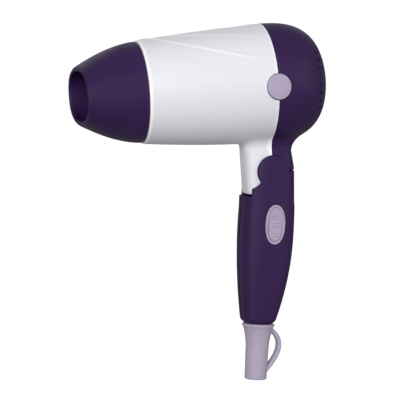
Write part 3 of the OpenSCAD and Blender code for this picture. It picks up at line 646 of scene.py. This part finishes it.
def biteAngles(count):
    # angles round the bite, from its top to where it meets the skin's front, and that meeting's level
    s = handleSize
    (cutV, cutU), cutR = s["cutCentre"], s["cutRadius"]
    frontU = cutU + math.sqrt(cutR ** 2 - (s["skinFront"] - cutV) ** 2)
    angles = np.linspace(math.asin((s["cutTop"] - cutU) / cutR), math.asin((frontU - cutU) / cutR), count)
    return angles, frontU


def handleRows():
    # levels down the handle with the skin's front and rear limits at each
    s = handleSize
    lobe, (cutV, cutU), cutR = s["lobe"], s["cutCentre"], s["cutRadius"]
    bite, frontU = biteAngles(30)
    bite = bite[1:]
    lobeU = np.concatenate([-lobe * np.cos(np.linspace(0, np.pi / 2, 28)), [0.3, s["shoulder"]]])
    sideU = np.linspace(s["shoulder"], s["cutTop"], 18)
    biteU = cutU + cutR * np.sin(bite)
    skinU = np.linspace(frontU, s["wallTop"], 14)[1:]
    bodyU = np.linspace(s["wallTop"], s["length"] - s["foot"], 84)
    sinA, cosA = quarter(12)
    footU = s["length"] - s["foot"] + s["foot"] * sinA[1:]
    u = np.concatenate([lobeU, sideU, biteU, skinU, bodyU, footU, [s["length"]]])
    inset = np.concatenate([np.zeros(len(u) - len(footU) - 1), s["foot"] * (1 - cosA[1:]), [0]])
    width = handleHalfWidth(u) - inset
    thick = handleHalfThick(u) - inset
    width[-1] = thick[-1] = 0.001
    low = np.concatenate([-np.sqrt(np.maximum(lobe ** 2 - np.concatenate([lobeU, sideU]) ** 2, 0)),
                          cutV + cutR * np.cos(bite), np.full(len(skinU), s["skinFront"]),
                          -width[-(len(bodyU) + len(footU) + 1):]])
    high = np.concatenate([np.sqrt(np.maximum(lobe ** 2 - lobeU ** 2, 0)), width[len(lobeU):]])
    return u, low, high, width, thick


def roundedOutline():
    # edges that get a small round: lobe, bite and the skin's front
    s = handleSize
    lobe, (cutV, cutU), cutR = s["lobe"], s["cutCentre"], s["cutRadius"]
    bite, frontU = biteAngles(24)
    arc = np.radians(np.linspace(-3, 221, 90))
    lobeLine = np.stack([lobe * np.cos(arc), -lobe * np.sin(arc)], -1)
    biteLine = np.stack([cutV + cutR * np.cos(bite), cutU + cutR * np.sin(bite)], -1)
    front = np.array([[s["skinFront"], frontU], [s["skinFront"], s["wallTop"]]])
    return np.concatenate([lobeLine, biteLine, front])


def buildHandle(side, name, node):
    # one shell of the handle: an outer skin over a flat inner side, row by row down the handle;
    # each row is a super-oval arc between its front and rear limits
    s = handleSize
    u, low, high, width, thick = handleRows()
    power = s["power"]

    def arcOf(v):
        return np.arccos(np.clip(np.sign(v) * (np.abs(v) / width) ** (power / 2), -1, 1))

    spread = (1 - np.cos(np.linspace(0, np.pi, s["cols"]))) / 2
    spread = 0.5 * spread + 0.5 * np.linspace(0, 1, s["cols"])
    arc = arcOf(high)[:, None] + (arcOf(low) - arcOf(high))[:, None] * spread
    v, out = oval(arc, width[:, None], thick[:, None], power)
    level = np.broadcast_to(u[:, None], v.shape)
    flat = np.stack([v.ravel(), level.ravel()], -1)
    near = np.full(len(flat), 99.0)
    top = flat[:, 1] < s["wallTop"] + 2
    near[top] = distanceTo(flat[top], roundedOutline())
    near = near.reshape(v.shape)
    edge = s["edge"]
    dip = edge - np.sqrt(np.maximum(edge ** 2 - np.clip(edge - near, 0, edge) ** 2, 0))
    radius = np.hypot(v, level)
    # the pocket that takes the neck leaves only the outer skin; elsewhere the shell reaches the middle
    pocket = (radius < s["pocketRadius"]) & (level < s["wallTop"] + s["pocketBelow"])
    pocket = pocket & (v < s["rearWall"]) & (v > s["skinFront"] - 0.05)
    inner = np.where(pocket, s["skin"], s["flat"])
    out = np.maximum(out - dip, inner)
    # shallow groove along the parting line of the two shells
    pinch = s["groove"] * np.exp(-(out / s["grooveDepth"]) ** 2)
    v = v - np.sign(v) * np.minimum(pinch, np.abs(v)) * (np.abs(v) > s["grooveFrom"])
    # the shoulder is level with the ground, so its levels climb towards the back of the leaning handle
    climb = v * math.tan(lean) * smoothStep((v - s["lobe"]) / 0.3)
    level = level - climb * np.clip(1 - (level - s["shoulder"]) / s["climbFade"], 0, 1)
    # the handle's middle line moves back at the belly and forward at the foot
    shift = s["offset"] - s["sway"] * np.clip(level - s["swayFrom"], 0, None) ** 2
    v = v + smoothStep((level - s["wallTop"]) / s["swayBlend"]) * shift
    outerPoints = inHandle(v, level, side * out)
    innerPoints = inHandle(v, level, side * inner)[:, ::-1]
    points = np.concatenate([outerPoints, innerPoints], 1)
    piece = addMesh(name, [(points, gridFaces(len(points), points.shape[1]))], 34)
    finishPiece(piece, "purpleAbs", "handle", "purple_shell", node)


print("handle")
buildHandle(-1, "handleLeftShell", "handle_left")
buildHandle(1, "handleRightShell", "handle_right")

switchSize = {
    "centreV": 2, "centreU": 30.5, "halfA": 5.9, "halfB": 11.5, "power": 2.2, "rim": 1.3,
    "rimTop": 0.85, "floor": 0.12, "sunk": 1.2,
    "sliderA": 3.9, "sliderB": 7.3, "sliderDown": 2.3, "sliderEdge": 0.6, "crown": 0.95, "crownRise": 0.12,
    "ribs": [-3.5, -1.8, 2.3, 4.0], "ribHeight": 0.3, "ribWidth": 0.42, "ribReach": 2.5, "ribFade": 0.6,
    "stepHeight": 0.28, "stepWidth": 0.55, "stepIn": 1.1, "stepReach": 3,  # thumb step at the upper end
}
buttonSize = {"a": 7.1, "b": 7.4, "domeRadius": 40, "edge": 0.7, "rootY": -31}


def buildBezel():
    # dish: floor, inner wall, rounded rim and outer wall as rings of one oval drawn in by an inset
    s = switchSize
    rim = s["rim"] / 2
    arcS, arcC = quarter(15, 0, 180)
    inset = np.concatenate([[s["halfA"] - 0.01, s["rim"] + 0.9, s["rim"] + 0.1], rim + rim * arcC,
                            [0, s["halfA"] - 0.01]])
    height = np.concatenate([[s["floor"], s["floor"], s["floor"] + 0.1], s["rimTop"] - rim * 0.8 * (1 - arcS),
                             [-s["sunk"], -s["sunk"]]])
    turn = np.linspace(0, 2 * np.pi, 96, endpoint=False)
    a, b = oval(turn, (s["halfA"] - inset)[:, None], (s["halfB"] - inset)[:, None], s["power"])
    a[0], b[0], a[-1], b[-1] = 0, 0, 0, 0
    points = inHandle(s["centreV"] + a, s["centreU"] + b, -handleT - height[:, None])
    piece = addMesh("switchFrame", [(points, gridFaces(len(points), 96))], 50)
    finishPiece(piece, "lilacAbs", "handle", "lilac_trim", "switch_bezel")


def buildSlider():
    # crowned thumb piece: width follows a super-oval along its length, with raised cross ribs
    s = switchSize
    along = np.sin(np.linspace(-np.pi / 2, np.pi / 2, 121))
    across = np.sin(np.linspace(-np.pi / 2, np.pi / 2, 41))
    power = np.where(along < 0, 2.6, 2.2)
    half = s["sliderA"] * np.maximum(1 - np.abs(along) ** power, 0) ** (1 / power)
    v = half[:, None] * across
    w = np.broadcast_to((along * s["sliderB"])[:, None], v.shape)
    edgeNear = np.minimum((1 - np.abs(across)) * half[:, None], (1 - np.abs(along))[:, None] * s["sliderB"])
    edge = s["sliderEdge"]
    dip = edge - np.sqrt(np.maximum(edge ** 2 - np.clip(edge - edgeNear, 0, edge) ** 2, 0))
    height = s["crown"] + s["crownRise"] * (1 - (v / s["sliderA"]) ** 2) - dip
    for rib in s["ribs"]:
        height = height + s["ribHeight"] * np.exp(-((w - rib) / s["ribWidth"]) ** 2) \
            * smoothStep((s["ribReach"] - np.abs(v)) / s["ribFade"])
    step = np.exp(-((w + s["sliderB"] - s["stepIn"]) / s["stepWidth"]) ** 2)
    height = height + s["stepHeight"] * step * smoothStep(s["stepReach"] - np.abs(v))
    height = np.maximum(height, s["floor"] + 0.12)
    centreU = s["centreU"] + s["sliderDown"]
    topPoints = inHandle(s["centreV"] + v, centreU + w, -handleT - height)
    basePoints = inHandle(s["centreV"] + v, centreU + w, -handleT - s["floor"] - 0.1 + 0 * v)[:, ::-1]
    points = np.concatenate([topPoints, basePoints], 1)
    piece = addMesh("switchThumb", [(points, gridFaces(len(points), points.shape[1]))], 50)
    finishPiece(piece, "lilacAbs", "switch_slider", "lilac_trim", "switch_slider")


def buildButton():
    # domed cap: sphere cap, rounded edge and straight skirt, stretched a little upwards
    s = buttonSize
    top = buttonLow[1]
    rim = 1 - s["edge"] / s["a"]
    k = np.linspace(0, rim, 20)
    capY = top + s["domeRadius"] - np.sqrt(s["domeRadius"] ** 2 - (k * s["a"]) ** 2)
    sinA, cosA = quarter(8)
    edgeK = rim + (1 - rim) * sinA[1:]
    edgeY = capY[-1] + s["edge"] * (1 - cosA[1:])
    k = np.concatenate([k, edgeK, [1, 0]])[:, None]
    y = np.concatenate([capY, edgeY, [s["rootY"], s["rootY"]]])[:, None]
    turn = np.linspace(0, 2 * np.pi, 96, endpoint=False)
    a, b = oval(turn, s["a"], s["b"], 2)
    points = np.stack(np.broadcast_arrays(seamRear + a * k, y, buttonZ + b * k), -1)
    piece = addMesh("coolButtonCap", [(points, gridFaces(len(points), 96))], 60)
    finishPiece(piece, "lilacAbs", "cool_button", "lilac_trim", "cool_button")


print("controls")
buildBezel()
buildSlider()
buildButton()

sleeveSize = {
    "shift": -1, "flange": 9.6, "flangeDepth": 1.4, "tip": 6.5, "taper": 0.5, "flare": 2.2, "edge": 0.8,
    "top": 0.05, "throat": 6.9, "sunk": -2,  # the throat goes up into the handle
    "bodyFrom": 2.2, "loopHalf": 1.35, "loopWide": 3.0,
    "loopPath": [(5.6, 3.0), (16.9, 9.5), (11.1, 20.0), (4.1, 28.0)],  # v and distance below the handle
}


def buildSleeve():
    # flanged cone with a flared top, revolved about its own axis, with the cord bore through it
    s = sleeveSize
    length = handleToTip - handleSize["length"]
    sinA, cosA = quarter(7)
    body = np.linspace(s["bodyFrom"], length - s["edge"], 48)
    t = body / length
    # tip + taper * (1 - t), and a flare to the flange that fades as (1 - flare * t) squared
    flare = (s["flange"] - s["tip"] - s["taper"]) * np.maximum(0, 1 - t * s["flare"]) ** 2
    bodyR = s["tip"] + s["taper"] * (1 - t) + flare
    down = np.concatenate([[s["top"]], s["top"] + s["edge"] * (1 - cosA), [s["flangeDepth"]], body,
                           length - s["edge"] * (1 - sinA), [length, length - 0.4, s["sunk"], s["sunk"]]])
    radius = np.concatenate([[s["throat"]], s["flange"] - s["edge"] * (1 - sinA), [s["flange"] - 0.05],
                             bodyR, bodyR[-1] - s["edge"] * (1 - cosA),
                             [sleeveBore + 0.4, sleeveBore, sleeveBore, s["throat"]]])
    turn = np.linspace(0, 2 * np.pi, 96, endpoint=False)
    points = inHandle(s["shift"] + radius[:, None] * np.cos(turn), handleSize["length"] + down[:, None],
                      radius[:, None] * np.sin(turn))
    cone = (points, gridFaces(len(points), 96, wrapRows=True))
    # loop: a rounded strap carried along a curve, its ends sunk in the cone
    k = np.linspace(0, 1, 60)[:, None]
    a, b, c, d = (np.array(p) for p in s["loopPath"])
    path = (1 - k) ** 3 * a + 3 * k * (1 - k) ** 2 * b + 3 * k * k * (1 - k) * c + k ** 3 * d
    along = np.gradient(path, axis=0)
    along = along / np.linalg.norm(along, axis=1, keepdims=True)
    side = np.stack([along[:, 1], -along[:, 0]], -1)
    turn = np.linspace(0, 2 * np.pi, 40, endpoint=False)
    half, wide = oval(turn, s["loopHalf"], s["loopWide"], 3.4)
    size = np.concatenate([[0], np.ones(60), [0]])[:, None]
    path = np.concatenate([path[:1], path, path[-1:]])
    side = np.concatenate([side[:1], side, side[-1:]])
    v = path[:, :1] + side[:, :1] * half * size
    w = path[:, 1:] + side[:, 1:] * half * size
    strap = inHandle(v, handleSize["length"] + w, wide * size)
    loop = (strap, gridFaces(len(strap), 40))
    piece = addMesh("cordSleeve", [cone, loop], 50)
    finishPiece(piece, "lilacPvc", "handle", "lilac_sleeve", "strain_relief")


print("cord sleeve")
buildSleeve()

stageSize = {"floorBelow": 0.12, "radius": 5.0, "wallHeight": 5.0, "bend": 1.5, "glow": 0.92}


def buildStage():
    # round sweep: a flat floor that bends up into a wall, revolved about the object
    s = stageSize
    sinA, cosA = quarter(14)
    radius = np.concatenate([[0, 0.5, 1.5], s["radius"] - s["bend"] * (1 - sinA), [s["radius"]]])
    height = np.concatenate([[0, 0, 0], s["bend"] * (1 - cosA), [s["wallHeight"]]])
    floorZ = cadBox[0][2] - s["floorBelow"]
    turn = np.linspace(0, 2 * np.pi, 96, endpoint=False)
    points = np.stack(np.broadcast_arrays(radius[:, None] * np.cos(turn), radius[:, None] * np.sin(turn),
                                          floorZ + height[:, None]), -1) / mm
    floor = addMesh("floor", [(points, gridFaces(len(points), 96))])
    floor.data.polygons.foreach_set("use_smooth", np.ones(len(floor.data.polygons), bool))
    material, tree, place = startMaterial("white paper sweep")
    fibre = addNode(tree, "ShaderNodeTexNoise", {"Scale": perMetre(8)}, {"Vector": place})
    bump = addNode(tree, "ShaderNodeBump", {"Strength": 0.02, "Distance": 0.2 * mm},
                   {"Height": fibre.outputs["Fac"]})
    shader = addNode(tree, "ShaderNodeBsdfPrincipled",
                     {"Base Color": linear("#9A9A9C"), "Roughness": 0.9, "Emission Color": linear("#FFFFFF"),
                      "Emission Strength": s["glow"]}, {"Normal": bump.outputs["Normal"]})
    addNode(tree, "ShaderNodeOutputMaterial", links={"Surface": shader.outputs["BSDF"]})
    floor.data.materials.append(material)
    floor.visible_diffuse = False
    floor.visible_glossy = False
    floor.visible_shadow = False


def addLight(name, place, target, size, power):
    lamp = bpy.data.lights.new(name, "AREA")
    lamp.shape = "RECTANGLE"
    lamp.size, lamp.size_y = size
    lamp.energy = power
    light = bpy.data.objects.new(name, lamp)
    scene.collection.objects.link(light)
    light.location = place
    light.rotation_euler = (Vector(target) - Vector(place)).to_track_quat("-Z", "Y").to_euler()


def addCamera():
    # stands a little in front of the switch side and a little above, turned slightly about its own axis
    place, target, roll = Vector((-0.2217, -1.1599, 0.0397)), Vector((0.0675, 0, -0.0649)), math.radians(3.7)
    forward = (target - place).normalized()
    level = forward.cross(Vector((0, 0, 1))).normalized()
    upright = level.cross(forward)
    across = level * math.cos(roll) - upright * math.sin(roll)
    up = level * math.sin(roll) + upright * math.cos(roll)
    lens = bpy.data.cameras.new("camera")
    lens.lens, lens.sensor_width = 186.2, 36
    camera = bpy.data.objects.new("camera", lens)
    scene.collection.objects.link(camera)
    turn = Matrix((across, up, -forward)).transposed()
    camera.matrix_world = Matrix.Translation(place) @ turn.to_4x4()
    scene.camera = camera


print("stage")
buildStage()
addCamera()
middle = (0.075, 0, -0.06)
addLight("key", (-0.75, -1.5, 0.45), middle, (1.5, 0.8), 25)
addLight("fill", (1.2, -1.1, 0.3), middle, (1.0, 1.4), 8)
addLight("top", (0.1, 0.1, 1.4), middle, (1.4, 1.0), 0.8)
addLight("back", (0.5, 1.4, 0.6), middle, (1.4, 1.0), 2.5)
world = bpy.data.worlds.new("studio")
world.use_nodes = True
world.node_tree.nodes["Background"].inputs["Color"].default_value = linear("#FFFFFF")
world.node_tree.nodes["Background"].inputs["Strength"].default_value = 0.3
scene.world = world
scene.view_settings.view_transform = "Standard"
